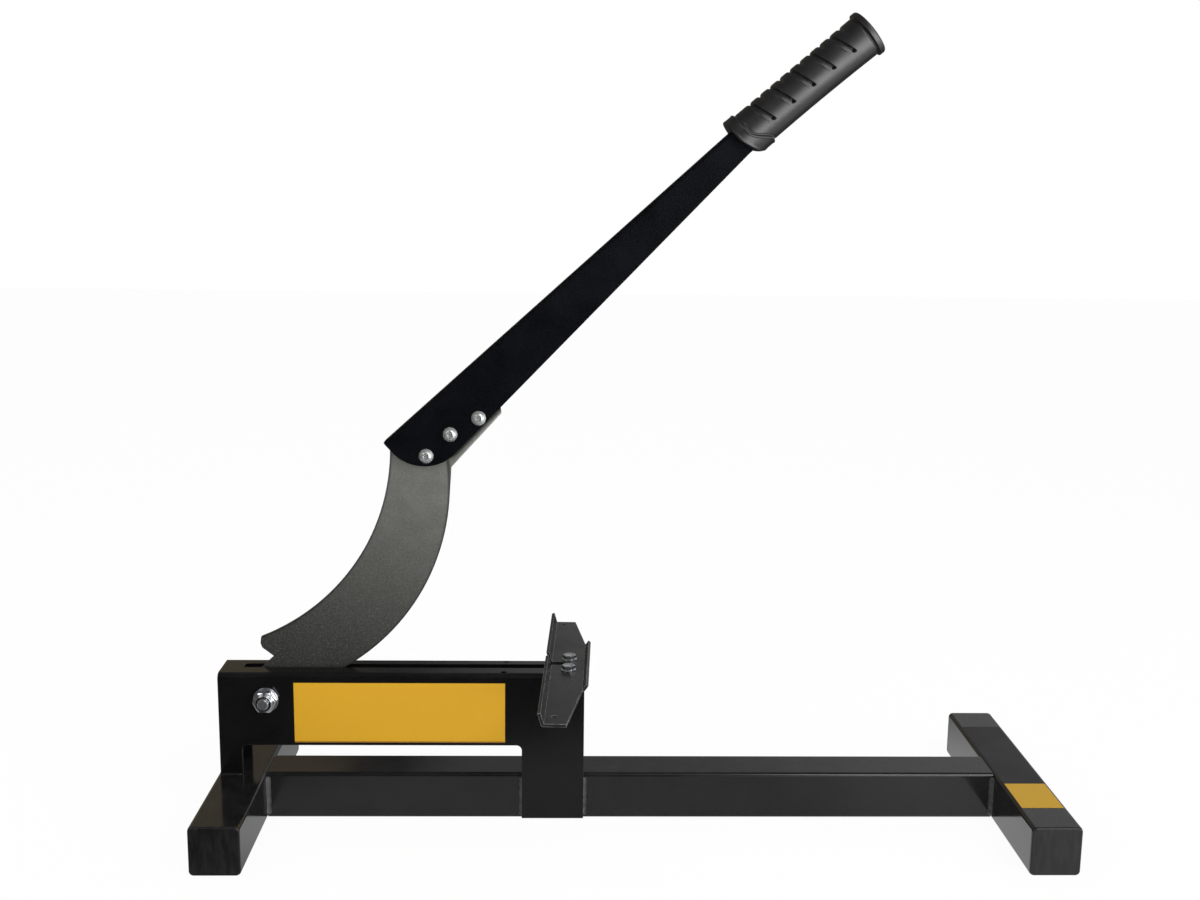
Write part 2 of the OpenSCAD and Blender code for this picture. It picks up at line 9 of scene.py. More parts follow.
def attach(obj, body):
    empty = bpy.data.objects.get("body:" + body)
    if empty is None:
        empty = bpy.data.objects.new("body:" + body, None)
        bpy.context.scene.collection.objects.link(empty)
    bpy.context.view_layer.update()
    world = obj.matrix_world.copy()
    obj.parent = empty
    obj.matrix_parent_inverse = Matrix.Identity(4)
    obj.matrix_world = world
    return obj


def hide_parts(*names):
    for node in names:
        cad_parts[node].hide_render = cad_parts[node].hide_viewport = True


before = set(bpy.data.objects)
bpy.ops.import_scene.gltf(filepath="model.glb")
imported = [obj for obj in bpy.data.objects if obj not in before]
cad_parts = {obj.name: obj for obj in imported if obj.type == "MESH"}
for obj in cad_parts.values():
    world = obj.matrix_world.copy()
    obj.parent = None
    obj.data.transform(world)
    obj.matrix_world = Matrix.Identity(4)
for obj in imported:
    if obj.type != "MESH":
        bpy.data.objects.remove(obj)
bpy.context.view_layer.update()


# Square tubes of the base
# Left foot, right foot and the beam between them: 40 mm square steel tube with round
# corners, cut to length, welded into an H and sprayed with black powder, then baked.
def grey(level, blue=None):
    """Neutral colour, with its blue a little apart from the rest where one is given."""
    return level, level, level if blue is None else blue, 1


def shader_part(tree, kind, inputs=None, **settings):
    """One shader node: its settings, and for each input a value or another node's output."""
    made = tree.nodes.new("ShaderNode" + kind)
    for name, value in settings.items():
        setattr(made, name, value)
    for name, value in (inputs or {}).items():
        if isinstance(value, bpy.types.NodeSocket):
            tree.links.new(value, made.inputs[name])
        else:
            made.inputs[name].default_value = value
    return made


def sums(tree, operation, first, second=0.0, clamp=False):
    """Output of one sum, such as MULTIPLY or SUBTRACT, on two values or outputs."""
    return shader_part(tree, "Math", {0: first, 1: second}, operation=operation,
                       use_clamp=clamp).outputs[0]


def weighed(tree, first, first_share, second, second_share):
    """Two outputs added up, each times its share."""
    return sums(tree, "ADD", sums(tree, "MULTIPLY", first, first_share),
                sums(tree, "MULTIPLY", second, second_share))


def blend_colour(tree, share, first, second):
    """Colour that goes from the first to the second as the share goes from 0 to 1."""
    return shader_part(tree, "Mix", {0: share, 6: first, 7: second}, data_type="RGBA").outputs[2]


def ramp_up(tree, value, low, high, bottom=0.0, top=1.0):
    """Smooth step: bottom below the low value, top above the high one."""
    return shader_part(tree, "MapRange", {"Value": value, "From Min": low, "From Max": high,
                                          "To Min": bottom, "To Max": top},
                       interpolation_type="SMOOTHSTEP").outputs[0]


def speckle(tree, size, detail=2.0, rough=0.5, stretch=None):
    """Noise from 0 to 1 whose blotches are about size metres across, stretched per axis."""
    place = shader_part(tree, "TexCoord").outputs["Object"]
    if stretch:
        place = shader_part(tree, "VectorMath", {0: place, 1: stretch},
                            operation="MULTIPLY").outputs[0]
    return shader_part(tree, "TexNoise", {"Vector": place, "Scale": 1 / size, "Detail": detail,
                                          "Roughness": rough}).outputs[0]


def shader_group(name, inputs, outputs):
    """An empty shader group with its named inputs (name, kind, value) and outputs (name, kind)."""
    tree = bpy.data.node_groups.new(name, "ShaderNodeTree")
    for label, kind, value in inputs:
        tree.interface.new_socket(label, in_out="INPUT", socket_type=kind).default_value = value
    for label, kind in outputs:
        tree.interface.new_socket(label, in_out="OUTPUT", socket_type=kind)
    given, put = tree.nodes.new("NodeGroupInput"), tree.nodes.new("NodeGroupOutput")
    return tree, given.outputs, put.inputs


# Baked powder: a fine orange-peel skin, with cloudy differences in depth and gloss
POWDER_CLOUD, POWDER_PIP, POWDER_PEEL = 0.03, 0.0011, 0.0016      # blotch sizes in metres
powder_grain, given, put = shader_group(
    "powder_grain",
    [("Deep", "NodeSocketColor", grey(0.01)), ("Thin", "NodeSocketColor", grey(0.03)),
     ("Gloss Low", "NodeSocketFloat", 0.3), ("Gloss High", "NodeSocketFloat", 0.45)],
    [("Colour", "NodeSocketColor"), ("Roughness", "NodeSocketFloat"),
     ("Height", "NodeSocketFloat")])
clouds = speckle(powder_grain, POWDER_CLOUD, 3)
pips = speckle(powder_grain, POWDER_PIP, 3, 0.7)
cover = weighed(powder_grain, clouds, 0.2, pips, 0.8)
wires = powder_grain.links
wires.new(blend_colour(powder_grain, ramp_up(powder_grain, cover, 0.38, 0.62),
                       given["Deep"], given["Thin"]), put["Colour"])
wires.new(shader_part(powder_grain, "MapRange", {
    "Value": clouds, "From Min": 0.3, "From Max": 0.7, "To Min": given["Gloss Low"],
    "To Max": given["Gloss High"]}).outputs[0], put["Roughness"])
wires.new(sums(powder_grain, "ADD", speckle(powder_grain, POWDER_PEEL, 2),
               sums(powder_grain, "MULTIPLY", pips, 0.35)), put["Height"])

# Edge wear, partly real and partly a painted highlight on edges: where a small rounding of the
# normal departs from it, broken up by patches
WEAR_AND_GLINT_PATCH = 0.006
edge_wear_and_glint, given, put = shader_group(
    "edge_wear_and_glint", [("Reach", "NodeSocketFloat", 0.0007), ("Amount", "NodeSocketFloat", 0.5)],
    [("Wear And Glint", "NodeSocketFloat")])
rounded = shader_part(edge_wear_and_glint, "Bevel", {"Radius": given["Reach"]}, samples=6).outputs[0]
facing = shader_part(edge_wear_and_glint, "NewGeometry").outputs["Normal"]
turn = sums(edge_wear_and_glint, "SUBTRACT", 1.0, shader_part(
    edge_wear_and_glint, "VectorMath", {0: rounded, 1: facing}, operation="DOT_PRODUCT").outputs["Value"])
patches = ramp_up(edge_wear_and_glint, speckle(edge_wear_and_glint, WEAR_AND_GLINT_PATCH, 4, 0.65), 0.38, 0.62, 0.25, 1.0)
worn_and_glinting = sums(edge_wear_and_glint, "MULTIPLY", ramp_up(edge_wear_and_glint, turn, 0.01, 0.12), patches)
edge_wear_and_glint.links.new(sums(edge_wear_and_glint, "MULTIPLY", worn_and_glinting, given["Amount"], True), put["Wear And Glint"])

# Workshop dust: settles on faces that look up, thicker in cloudy patches
DUST_PATCH = 0.012
DUST_COLOUR = (0.16, 0.15, 0.14, 1)
settled_dust, given, put = shader_group(
    "settled_dust", [("Amount", "NodeSocketFloat", 0.1)], [("Dust", "NodeSocketFloat")])
upward = shader_part(settled_dust, "SeparateXYZ", {
    0: shader_part(settled_dust, "NewGeometry").outputs["Normal"]}).outputs["Z"]
drift = sums(settled_dust, "MULTIPLY", ramp_up(settled_dust, upward, 0.3, 0.95),
             ramp_up(settled_dust, speckle(settled_dust, DUST_PATCH, 5, 0.7), 0.35, 0.75))
settled_dust.links.new(sums(settled_dust, "MULTIPLY", drift, given["Amount"], True), put["Dust"])


def fill_group(tree, group, values):
    """The group's node with its inputs set by name."""
    made = tree.nodes.new("ShaderNodeGroup")
    made.node_tree = group
    for name, value in values.items():
        made.inputs[name].default_value = value
    return made


def new_finish(name, **constants):
    """A material, its node tree and its Principled shader with the constant values set."""
    finish = bpy.data.materials.new(name)
    finish.use_nodes = True
    shader = finish.node_tree.nodes["Principled BSDF"]
    for label, value in constants.items():
        shader.inputs[label.replace("_", " ")].default_value = value
    return finish, finish.node_tree, shader.inputs


def bump(tree, height, depth, target, base=None):
    """Raises the surface by a height from 0 to 1 times a depth in metres, over a base normal."""
    raised = shader_part(tree, "Bump", {"Height": height, "Distance": depth})
    if base:
        tree.links.new(base, raised.inputs["Normal"])
    tree.links.new(raised.outputs[0], target)


def powder_coat(name, deep, thin, gloss, peel, wear_and_glint, bare_and_glint, dust=0.04, level=0.5):
    """Powder-coated steel: the colours of deep and thin paint, the lowest and highest roughness,
    the depth of the peel, the share and colour of worn edges, partly real wear and partly a
    painted highlight, the dust and the specular level."""
    worn_reach, soft_edge, dust_mattness = 0.0008, 0.0005, 0.9
    finish, tree, shader = new_finish(name, Specular_IOR_Level=level)
    grain = fill_group(tree, powder_grain, {"Deep": deep, "Thin": thin, "Gloss Low": gloss[0],
                                            "Gloss High": gloss[1]}).outputs
    worn_and_glinting = fill_group(tree, edge_wear_and_glint, {"Reach": worn_reach, "Amount": wear_and_glint}).outputs[0]
    dusty = fill_group(tree, settled_dust, {"Amount": dust}).outputs[0]
    # Edges blend to the bare colour: partly real wear, partly a painted highlight where edges catch
    # the light
    rubbed_and_glinting = blend_colour(tree, worn_and_glinting, grain["Colour"], bare_and_glint)
    tree.links.new(blend_colour(tree, dusty, rubbed_and_glinting, DUST_COLOUR), shader["Base Color"])
    matt = sums(tree, "MULTIPLY", dusty, dust_mattness)
    tree.links.new(sums(tree, "ADD", grain["Roughness"], matt, True), shader["Roughness"])
    softened = shader_part(tree, "Bevel", {"Radius": soft_edge}, samples=4).outputs[0]
    bump(tree, grain["Height"], peel, shader["Normal"], base=softened)
    return finish


def dress_node(name, finish):
    """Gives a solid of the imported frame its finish; its mesh stays as it is."""
    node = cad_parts[name]
    if not node.material_slots:
        node.data.materials.append(finish)
    for place in node.material_slots:
        place.material = finish


tube_paint = powder_coat("tube_paint", deep=grey(0.004, 0.0042), thin=grey(0.011, 0.0117),
                         gloss=(0.07, 0.13), peel=0.00001, wear_and_glint=0.35, bare_and_glint=grey(0.1), level=0.42)
for name in ("left_foot", "right_foot", "base_beam"):
    dress_node(name, tube_paint)


# End caps of the feet
# Four black plastic plugs pushed into the open ends of the feet. Each has a flange as
# wide as the tube, with soft round corners and a slightly domed face, and a hollow plug.
MM = 0.001                  # the sizes are in millimetres, and the meshes in metres
LEFT_END = -347.5           # the left foot's outer face in the model
TUBE = 40.0
FOOT = 250.0
OVERALL = 695.0
CAP_LIP = 1.4               # radius of the face's rounded edge
CAP_DOME = 0.5              # how far the edge of the face lies behind its middle
CAP_FLANGE = 3.0
CAP_PLUG = 14.0
CAP_WALL = 2.0
PLUG_HALF = 17.85           # half the plug's width, a slide fit in the tube


def ring_skin(rings, ends="fill"):
    """Points and faces of a skin through rings[i, j], point j of ring i, each ring closed.
    The two ends are filled from the middle of their rings, or joined to each other."""
    rows, count, _ = rings.shape
    spans = rows - 1 if ends == "fill" else rows
    i, j = np.meshgrid(np.arange(spans), np.arange(count), indexing="ij")
    k, up = (j + 1) % count, (i + 1) % rows
    quads = np.stack([i * count + j, i * count + k, up * count + k, up * count + j],
                     -1).reshape(-1, 4)
    points, fans = rings.reshape(-1, 3), np.zeros((0, 3), int)
    if ends == "fill":
        points = np.concatenate([points, rings[[0, -1]].mean(axis=1)])
        j = np.arange(count)
        k, top = (j + 1) % count, (rows - 1) * count
        fans = np.concatenate([np.stack([k, j, np.full(count, rows * count)], -1),
                               np.stack([top + j, top + k, np.full(count, rows * count + 1)], -1)])
    # A skin whose faces enclose a volume below zero is inside out, and is turned
    corners = np.concatenate([quads[:, :3], quads[:, [0, 2, 3]], fans])
    a, b, c = (points[corners[:, side]] - points.mean(axis=0) for side in range(3))
    if np.einsum("ij,ij->", a, np.cross(b, c)) < 0:
        quads, fans = quads[:, ::-1], fans[:, ::-1]
    return points, quads, fans


def join_piece(name, skins, finish, body, replaced, sharp=32):
    """One object of several closed skins, smooth where faces meet below the sharp angle."""
    points, faces, first = [], [], 0
    for skin in skins:
        points.append(skin[0])
        for group in skin[1:]:
            faces.extend((group + first).tolist())
        first += len(skin[0])
    mesh = bpy.data.meshes.new(name)
    mesh.from_pydata(np.concatenate(points).tolist(), [], faces)
    mesh.polygons.foreach_set("use_smooth", np.ones(len(faces), bool))
    mesh.set_sharp_from_angle(angle=radians(sharp))
    mesh.materials.append(finish)
    piece = bpy.data.objects.new(name, mesh)
    bpy.context.scene.collection.objects.link(piece)
    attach(piece, body)
    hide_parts(*replaced)


def round_squares(half, corner, y, count=24):
    """Rings of square outlines with round corners: one half width, corner radius and place y
    each. The corner arcs are walked in even steps, the straight sides in one step."""
    turn = np.linspace(0, pi / 2, count)
    angle = np.concatenate([turn + q * pi / 2 for q in range(4)])
    heart = np.repeat([[1, 1], [-1, 1], [-1, -1], [1, -1]], count, axis=0)
    half, corner = np.asarray(half)[:, None], np.asarray(corner)[:, None]
    x = heart[:, 0] * (half - corner) + corner * np.cos(angle)
    z = heart[:, 1] * (half - corner) + corner * np.sin(angle)
    return np.stack([x, np.broadcast_to(np.asarray(y)[:, None], x.shape), z], -1)


def end_cap_skin(middle_x, front):
    """Cap: a face domed by the fourth power of the distance from its middle, a quarter-round
    edge, the flange's side, and the plug's outside, end and inside."""
    edge, back = TUBE / 2 - CAP_LIP, CAP_FLANGE + CAP_PLUG
    bore = PLUG_HALF - CAP_WALL
    turn = np.linspace(0, pi / 2, 8)[1:]
    face = np.linspace(2.0, edge, 8)
    half = np.concatenate([face, edge + CAP_LIP * np.sin(turn),
                           [TUBE / 2, TUBE / 2 - 0.3, PLUG_HALF, PLUG_HALF, bore, bore]])
    corner = np.concatenate([np.linspace(0.4, 2.6, 8), 2.6 + 1.2 * np.sin(turn),
                             [3.4, 3.2, 1.0, 1.0, 0.9, 0.9]])
    y = np.concatenate([CAP_DOME * (face / edge) ** 4, CAP_DOME + CAP_LIP * (1 - np.cos(turn)),
                        [CAP_FLANGE - 0.2, CAP_FLANGE, CAP_FLANGE, back, back, CAP_FLANGE]])
    rings = round_squares(half, corner, y - FOOT / 2)
    rings += [middle_x, 0, TUBE / 2]
    if not front:
        rings[:, :, 1] *= -1
    return ring_skin(rings * MM)


cap_plastic, tree, shader = new_finish("cap_plastic", Specular_IOR_Level=0.4)
grain = speckle(tree, 0.0009, 3)
haze = speckle(tree, 0.006, 4, 0.6, (1.6, 1, 0.35))
scuffs = ramp_up(tree, haze, 0.35, 0.65)
tree.links.new(blend_colour(tree, scuffs, grey(0.004, 0.0042), grey(0.009, 0.0095)),
               shader["Base Color"])
tree.links.new(ramp_up(tree, haze, 0.3, 0.7, 0.3, 0.4), shader["Roughness"])
bump(tree, grain, 0.00003, shader["Normal"])
for side, middle in (("left", LEFT_END + TUBE / 2), ("right", LEFT_END + OVERALL - TUBE / 2)):
    for end in ("front", "rear"):
        join_piece(f"{side}_{end}_end_cap", [end_cap_skin(middle, end == "front")], cap_plastic,
                   "base", [f"{side}_{end}_cap"])


# Weld beads of the base
# Four upright fillet welds where the beam's sides meet the feet. The welder's arc leaves
# overlapping scales in the bead, and the powder coat covers them thinly.
TUBE_CORNER = 3.0
BASE_LEG = 3.5              # length of the bead's two legs on the steel
SHARP_BEAD = 60             # faces that meet at more degrees than this show an edge


def weld_bead(start, end, sides, leg, pitch=1.3):
    """Bead along a corner: the two sides are the directions of its legs, each as long as leg.
    Its reach is the leg times a taper at both ends, a slow swell, a dip in the middle of the
    face, and a fall by the square of the way through each scale, which bows forward."""
    row, run_out = 0.2, 1.5
    start, end = np.array(start, float), np.array(end, float)
    length = np.linalg.norm(end - start)
    rows = max(int(length / row), 8)
    along = np.linspace(0, length, rows)[:, None]
    turn = np.linspace(0, pi / 2, 13)[None, :]
    bow = 0.45 * np.sin(2 * turn)
    phase = (along / pitch + bow + 0.15 * np.sin(along * 0.9)) % 1.0
    swell = 1 + 0.05 * np.sin(along * 0.7) - 0.13 * phase ** 2
    taper = np.clip(np.minimum(along, length - along) / run_out, 0, 1) ** 0.5
    reach = leg * (0.55 + 0.45 * taper) * swell / 1.05
    reach = reach * (1 - 0.12 * np.sin(2 * turn))
    first, second = (np.array(side, float) for side in sides)
    place = start + (end - start) * (along / length)[..., None]
    face = place + (reach * np.cos(turn))[..., None] * first \
        + (reach * np.sin(turn))[..., None] * second
    root = np.broadcast_to(place, (rows, 1, 3)) - 0.1 * (first + second)
    return ring_skin(np.concatenate([face, root], axis=1) * MM)


def upright_bead(x, y, sides, leg):
    """Bead up a side of the beam, between the round corners of its tube."""
    return weld_bead((x, y, TUBE_CORNER), (x, y, TUBE - TUBE_CORNER), sides, leg)


# Bead paint: its light-grey worn edges are partly real wear and partly painted glints on the bead's
# scales
bead_paint = powder_coat("bead_paint", deep=grey(0.012, 0.013), thin=grey(0.05), gloss=(0.22, 0.38),
                         peel=0.00005, wear_and_glint=0.5, bare_and_glint=grey(0.3))
beads = []
for x, away in ((LEFT_END + TUBE, 1), (LEFT_END + OVERALL - TUBE, -1)):
    for side in (-1, 1):
        beads.append(upright_bead(x, side * TUBE / 2, ((away, 0, 0), (0, side, 0)), BASE_LEG))
join_piece("base_beads", beads, bead_paint, "base", ["base_welds"],
           sharp=SHARP_BEAD)


# Cutter frame
# One steel sheet, 3 mm thick, folded down at both sides into a channel with a window
# through its walls and a long slot in its top; the same black powder coat, rubbed thin.
frame_paint = powder_coat("frame_paint", deep=grey(0.0018), thin=grey(0.005, 0.0052),
                          gloss=(0.12, 0.2), peel=0.00001, wear_and_glint=0.35, bare_and_glint=grey(0.08),
                          dust=0.02, level=0.32)
dress_node("cutter_frame", frame_paint)


# Weld beads of the frame
# The frame's right front leg laps over the beam and is welded along both its edges; the
# left legs are welded to the foot, and the short rear leg to the beam's top.
SHEET = 3.0
FRAME_FRONT, FRAME_REAR = -23.0, 17.0       # places in Y of the channel's two outer faces
LEFT_LEG = 2.5, 21.0                        # edges of the legs, from the left end
RIGHT_LEG = 254.0, 306.0
LAP_LEG, FOOT_LEG, REAR_LEG = 3.0, 1.5, 3.5             # lengths of the beads' own legs
FOOT_PITCH = 2.0
RUN_IN = 1.0                                # a level bead starts this far inside a leg's edge


def level_bead(edges, y, away, leg, **scales):
    """Bead along the foot of a frame's leg, on top of the tube, on the side that faces away."""
    ends = ((LEFT_END + x, y, TUBE) for x in (edges[0] + RUN_IN, edges[1] - RUN_IN))
    return weld_bead(*ends, ((0, away, 0), (0, 0, 1)), leg, **scales)


beads = [upright_bead(LEFT_END + x, -TUBE / 2, ((away, 0, 0), (0, -1, 0)), LAP_LEG)
         for x, away in zip(RIGHT_LEG, (-1, 1))]
join_piece("frame_beads", beads, bead_paint, "base", ["frame_welds"],
           sharp=SHARP_BEAD)
beads = [level_bead(LEFT_LEG, FRAME_FRONT, -1, FOOT_LEG, pitch=FOOT_PITCH),
         level_bead(LEFT_LEG, FRAME_REAR, 1, FOOT_LEG, pitch=FOOT_PITCH),
         level_bead(RIGHT_LEG, FRAME_REAR - SHEET, -1, REAR_LEG)]
join_piece("leg_beads", beads, frame_paint, "base", ["frame_welds"],
           sharp=SHARP_BEAD)


# Films
# A plain yellow film on the frame's front wall and a dark film with a plain yellow end
# on the right foot: printed polyester, stuck down flat, with slight ripples.
FILM_EDGE_SHADE = 0.0693, 0.0700   # heights in metres between which the painted shade along the yellow film's lower edge fades
YELLOW_END = -0.0405        # the dark film is yellow in front of this place in Y, in metres


def place_axes(tree, kind="Object"):
    """X, Y and Z of the place on the surface, in metres, or of the direction looked in."""
    place = shader_part(tree, "TexCoord").outputs[kind]
    return shader_part(tree, "SeparateXYZ", {0: place}).outputs


def film(name, colour, darker):
    """Satin film: its colour drifts a little, and its face ripples very slightly."""
    finish, tree, shader = new_finish(name, Specular_IOR_Level=0.25)
    drift = speckle(tree, 0.05, 3)
    tree.links.new(ramp_up(tree, drift, 0.3, 0.7, 0.38, 0.48), shader["Roughness"])
    bump(tree, speckle(tree, 0.02, 2), 0.00005, shader["Normal"])
    return tree, shader, blend_colour(tree, drift, colour, darker), finish


tree, shader, base, label_yellow = film("label_yellow", (0.505, 0.272, 0.01, 1),
                                        (0.475, 0.257, 0.009, 1))
# Painted shade: below these heights the yellow film is dark orange along its lower edge
rim = ramp_up(tree, place_axes(tree)["Z"], *FILM_EDGE_SHADE, 1.0, 0.0)
tree.links.new(blend_colour(tree, rim, base, (0.25, 0.11, 0.008, 1)), shader["Base Color"])
dress_node("front_label", label_yellow)

tree, shader, base, label_dark = film("label_dark", grey(0.014, 0.016), grey(0.02, 0.022))
block = sums(tree, "LESS_THAN", place_axes(tree)["Y"], YELLOW_END)
tree.links.new(blend_colour(tree, block, base, (0.5, 0.285, 0.016, 1)), shader["Base Color"])
dress_node("foot_label", label_dark)


# Pivot
# An M10 hexagon bolt from the rear, two washers, two spacer tubes that hold the blade in
# the slot, and a self-locking nut at the front; zinc-plated steel.
PIVOT = np.array([LEFT_END + 42, -1.0, 106.0])
ROUND = 144                 # points around a turned part
BOLT_R, BOLT_PITCH, BOLT_FLATS = 5.0, 1.5, 17.0
BOLT_END = -36.5            # place in Y of the bolt's tip
HEAD_H = 6.4
WASHER_T, WASHER_R, WASHER_BORE = 2.0, 10.5, 5.2
NUT_HEX_H = 7.0             # height of the nut's hexagon, without its collar
NYLON_RING = 0.0051, 0.0063                 # radii in metres of the nut's nylon ring
ACROSS_CORNERS = 1.732      # a hexagon's flats over this are its corner radius
FACE_SHARE = 0.47           # radius of a head's flat end face, as a share of the flats
CHAMFER_RISE = 0.577        # how much a 30 degree chamfer rises for its width


def turned(profile, outline=None):
    """Rings around the Y axis: each (y, radius) of the profile gives one ring. An outline
    limits the radius at each angle, which cuts a hexagon out of the round."""
    profile = np.array(profile, float)
    angle = np.arange(ROUND) * 2 * pi / ROUND
    radius = np.repeat(profile[:, 1:2], ROUND, axis=1)
    if outline is not None:
        radius = np.minimum(radius, outline(angle))
    y = np.repeat(profile[:, 0:1], ROUND, axis=1)
    return np.stack([radius * np.cos(angle), y, radius * np.sin(angle)], -1)


def hexagon(flats):
    """Distance from the axis to a hexagon's edge at an angle: half the flats over a cosine."""
    return lambda angle: flats / 2 / np.cos(angle % (pi / 3) - pi / 6)


def arc(centre, radius, start, end, count=8):
    """Points (y, r) on a quarter or other arc of the profile, angles in degrees."""
    turn = np.radians(np.linspace(start, end, count))
    return np.stack([centre[0] + radius * np.cos(turn), centre[1] + radius * np.sin(turn)], -1)


def chamfer(y, flats, inward, steps=10):
    """The chamfer of a hexagon's end face at y, a cone from the face towards the inside."""
    flat = flats * FACE_SHARE
    radius = np.linspace(flat, flats / ACROSS_CORNERS + 0.1, steps)
    return np.stack([y + inward * (radius - flat) * CHAMFER_RISE, radius], -1)


def thread(y0, y1, radius, pitch, depth):
    """Rings of a screw thread: the radius falls from crest to root once per pitch and turn,
    as a flattened triangle wave, and the thread runs out at both ends."""
    y = np.arange(y0, y1, pitch / 12)[:, None]
    angle = (np.arange(ROUND) * 2 * pi / ROUND)[None, :]
    wave = np.abs(((y / pitch - angle / (2 * pi)) % 1.0) * 2 - 1)
    away = np.clip(np.minimum(np.abs(y - y0), np.abs(y1 - y)) / pitch, 0, 1)
    r = radius - depth * np.clip(1.35 * wave - 0.1, 0, 1) * away
    return np.stack([r * np.cos(angle), np.broadcast_to(y, r.shape), r * np.sin(angle)], -1)


def from_axis(tree, axes, x, z):
    """Distance in metres of a place from the line along Y through x and z, which are in mm."""
    flat = shader_part(tree, "CombineXYZ", {0: axes["X"], 2: axes["Z"]}).outputs[0]
    return shader_part(tree, "VectorMath", {0: flat, 1: (x * MM, 0.0, z * MM)},
                       operation="DISTANCE").outputs["Value"]


def steel_finish(name, colour, stain, gloss, shine=1.0, insert=None):
    """Bare or plated steel: cloudy colour, a gloss range, fine scratches and tiny dents. The
    insert gives the two radii around the pivot between which a dark nylon ring shows."""
    finish, tree, shader = new_finish(name, Metallic=shine)
    clouds = speckle(tree, 0.006, 4, 0.6)
    lines = speckle(tree, 0.0012, 3, 0.6)
    plated = blend_colour(tree, clouds, colour, stain)
    if insert:
        inner, outer = insert
        far = from_axis(tree, place_axes(tree), PIVOT[0], PIVOT[2])
        nylon = sums(tree, "MULTIPLY", ramp_up(tree, far, inner, inner + 0.0001),
                     ramp_up(tree, far, outer - 0.0002, outer, 1.0, 0.0))
        plated = blend_colour(tree, nylon, plated, grey(0.02, 0.022))
    tree.links.new(plated, shader["Base Color"])
    mixed = weighed(tree, clouds, 0.5, lines, 0.5)
    tree.links.new(ramp_up(tree, mixed, 0.3, 0.7, *gloss), shader["Roughness"])
    bump(tree, lines, 0.00001, shader["Normal"])
    return finish


bright_zinc = dict(colour=(0.7, 0.71, 0.73, 1), stain=(0.48, 0.49, 0.51, 1), gloss=(0.1, 0.18),
                   shine=0.96)
zinc = steel_finish("zinc", **bright_zinc)
satin_zinc = steel_finish("satin_zinc", (0.64, 0.66, 0.65, 1), (0.48, 0.5, 0.49, 1), (0.2, 0.32),
                          shine=0.8)
nut_zinc = steel_finish("nut_zinc", **bright_zinc, insert=NYLON_RING)
plain_steel = steel_finish("plain_steel", grey(0.42, 0.43), grey(0.3, 0.31), (0.3, 0.45))
for name in ("pivot_front_spacer", "pivot_rear_spacer"):
    dress_node(name, plain_steel)


def at_pivot(rings):
    """Turned rings, with y as it is in the model, moved to the pivot's axis."""
    return (rings + [PIVOT[0], 0, PIVOT[2]]) * MM


def washer(y0, y1):
    """Washer from y0 to y1: both outer edges are quarter rounds, the bore is straight."""
    return turned(np.concatenate([
        arc((y0 + 0.4, WASHER_R - 0.4), 0.4, 180, 90), arc((y1 - 0.3, WASHER_R - 0.3), 0.3, 90, 0),
        [(y1, WASHER_BORE), (y0, WASHER_BORE)]]))


seat = FRAME_REAR + WASHER_T
neck, collar = BOLT_R + 0.4, BOLT_FLATS / 2 - 0.4
shank = [(FRAME_FRONT, BOLT_R), (seat - 0.4, BOLT_R), (seat - 0.1, neck), (seat, collar)]
head = np.concatenate([[(seat, collar), (seat + 0.4, collar)], chamfer(seat + 0.4, BOLT_FLATS, 1),
                       chamfer(seat + HEAD_H - 0.1, BOLT_FLATS, -1)[::-1],
                       [(seat + HEAD_H, 7.6), (seat + HEAD_H, 3.0)]])
bolt_rings = np.concatenate([
    turned([(BOLT_END, 2.5), (BOLT_END, 3.9), (BOLT_END + 0.4, 4.3)]),
    thread(BOLT_END + 0.5, FRAME_FRONT - 0.5, BOLT_R, BOLT_PITCH, 0.85),
    turned(shank), turned(head, hexagon(BOLT_FLATS))])

seat = FRAME_FRONT - WASHER_T
top = seat - NUT_HEX_H      # the collar that holds the nylon ring stands on this face
nut_profile = np.concatenate([
    [(seat, BOLT_R + 0.05), (seat, 7.9)], chamfer(seat, BOLT_FLATS, -1)[1:],
    chamfer(top, BOLT_FLATS, 1)[::-1], [(top, 7.6)], arc((top - 0.4, 7.65), 0.4, 0, -60, 4),
    [(top - 1.4, 7.25), (top - 2.2, 7.2)], arc((top - 2.2, 6.4), 0.8, 90, 180, 8),
    arc((top - 2.6, 6.0), 0.4, 180, 270, 4), [(top - 2.2, 5.9), (top - 2.0, BOLT_R + 0.05)]])
nut_rings = turned(nut_profile, hexagon(BOLT_FLATS))

join_piece("hinge_bolt", [ring_skin(at_pivot(bolt_rings))], zinc, "base", ["pivot_bolt"])
join_piece("hinge_nut", [ring_skin(at_pivot(nut_rings), "join")], nut_zinc, "base",
           ["pivot_nut"])
for end, near in (("front", FRAME_FRONT - WASHER_T), ("rear", FRAME_REAR)):
    join_piece(f"hinge_{end}_washer", [ring_skin(at_pivot(washer(near, near + WASHER_T)), "join")],
               zinc, "base", [f"pivot_{end}_washer"])


# Blade
# A 4 mm plate of tool steel cut to a crescent, with an eye around the pivot and a tang in
# the lever. It is blued and lightly oiled, and darker along its rims. Painted light makes it
# lighter towards the top and the right.
CUTTING_ARC = (-30.0, 177.3), 181.5         # centres, seen from the pivot, and radii
HOLLOW_ARC = (-72.4, 210.3), 175.6
TILT = radians(42.2)                        # of the lever's spine, above level
LEVER_START = PIVOT + np.array([102.0, 0.0, 217.5])
# Slopes of the lever's lower edge and of the tang's outer one, and their depths below the
# spine where they pass its start
LEVER_FALL, LEVER_DEPTH = 0.0691, 47.64
TANG_FALL, TANG_DEPTH = 0.0954, 54.25
blade_steel, tree, shader = new_finish("blade_steel", Metallic=0.55, Specular_IOR_Level=0.4)
axes = place_axes(tree)


